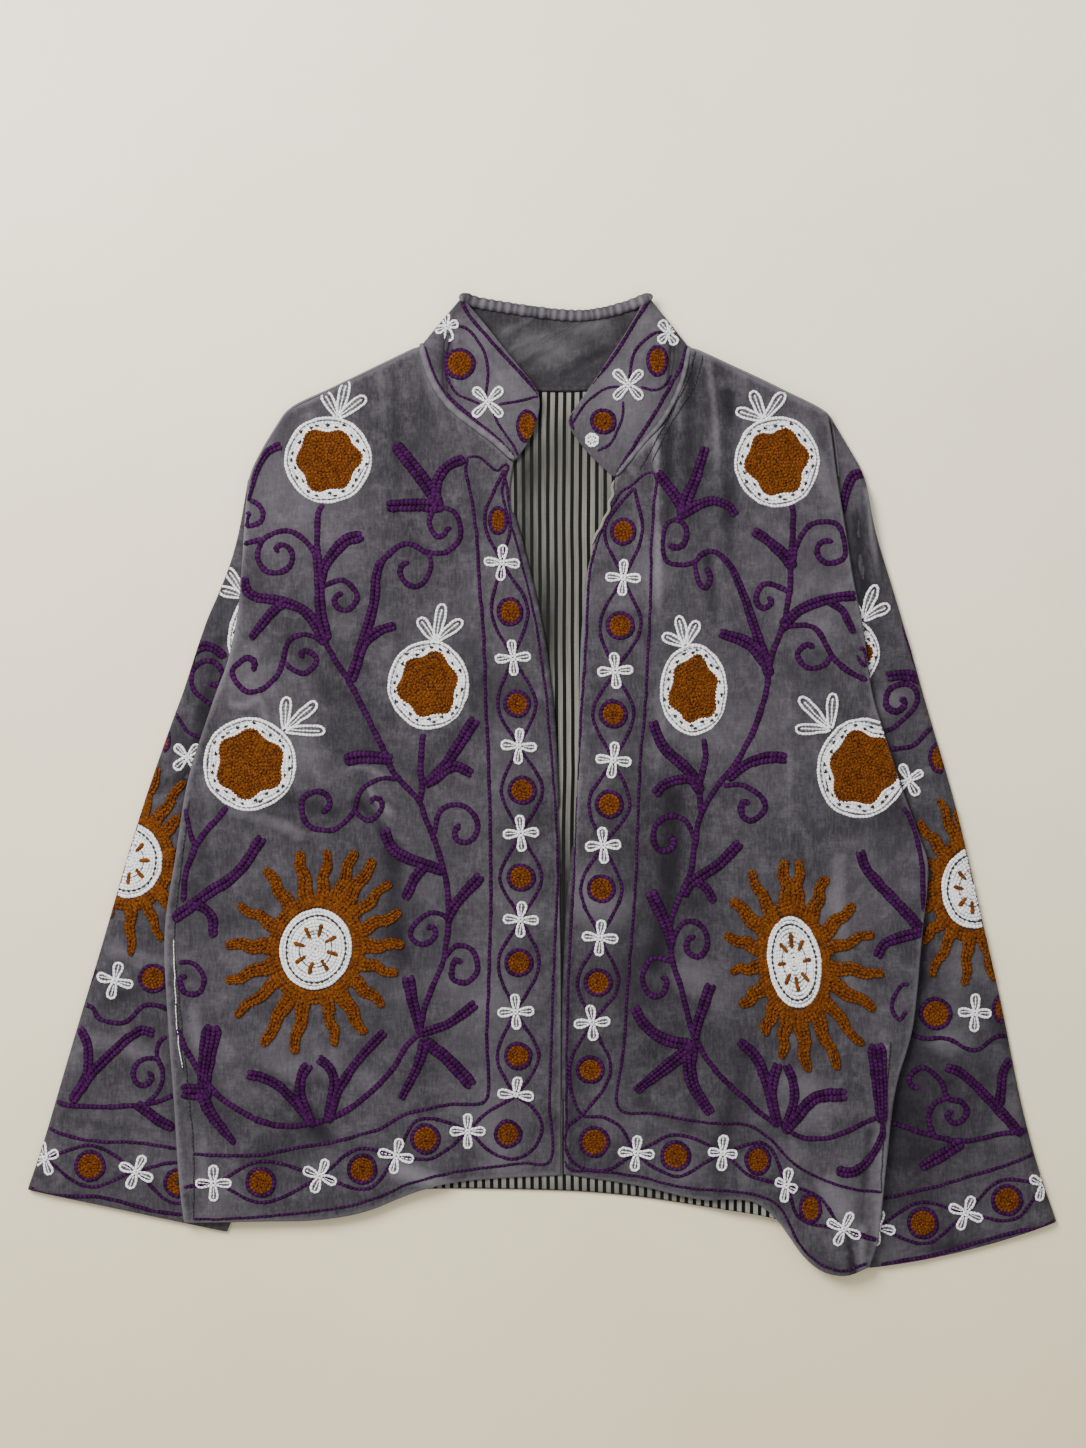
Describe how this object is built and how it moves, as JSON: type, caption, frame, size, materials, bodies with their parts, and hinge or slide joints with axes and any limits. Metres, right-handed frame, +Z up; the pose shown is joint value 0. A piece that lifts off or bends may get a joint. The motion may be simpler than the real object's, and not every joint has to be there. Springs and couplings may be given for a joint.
{
  "type": "suzani jacket",
  "caption": "Open-front velvet jacket with wide sleeves, a short stand collar, striped lining and thick chain-stitch flowers, fruit and suns, laid flat on its back.",
  "frame": {"origin": "on the surface under the middle of the laid-out jacket's box", "axes": "+Z up from the surface, +Y from the hem towards the collar, +X across towards the wearer's left sleeve"},
  "size_m": [0.802, 0.7614, 0.016],
  "materials": {
    "velvet": "washed grey cotton velvet",
    "facing": "plain grey cotton velvet",
    "lining": "black and off-white striped cotton"
  },
  "bodies": {
    "root": {"back_panel": "velvet", "front_left": "velvet", "front_right": "velvet", "sleeve_left": "velvet", "sleeve_right": "velvet", "collar_outer": "velvet", "collar_facing": "facing", "back_lining": "lining"}
  },
  "joints": []
}
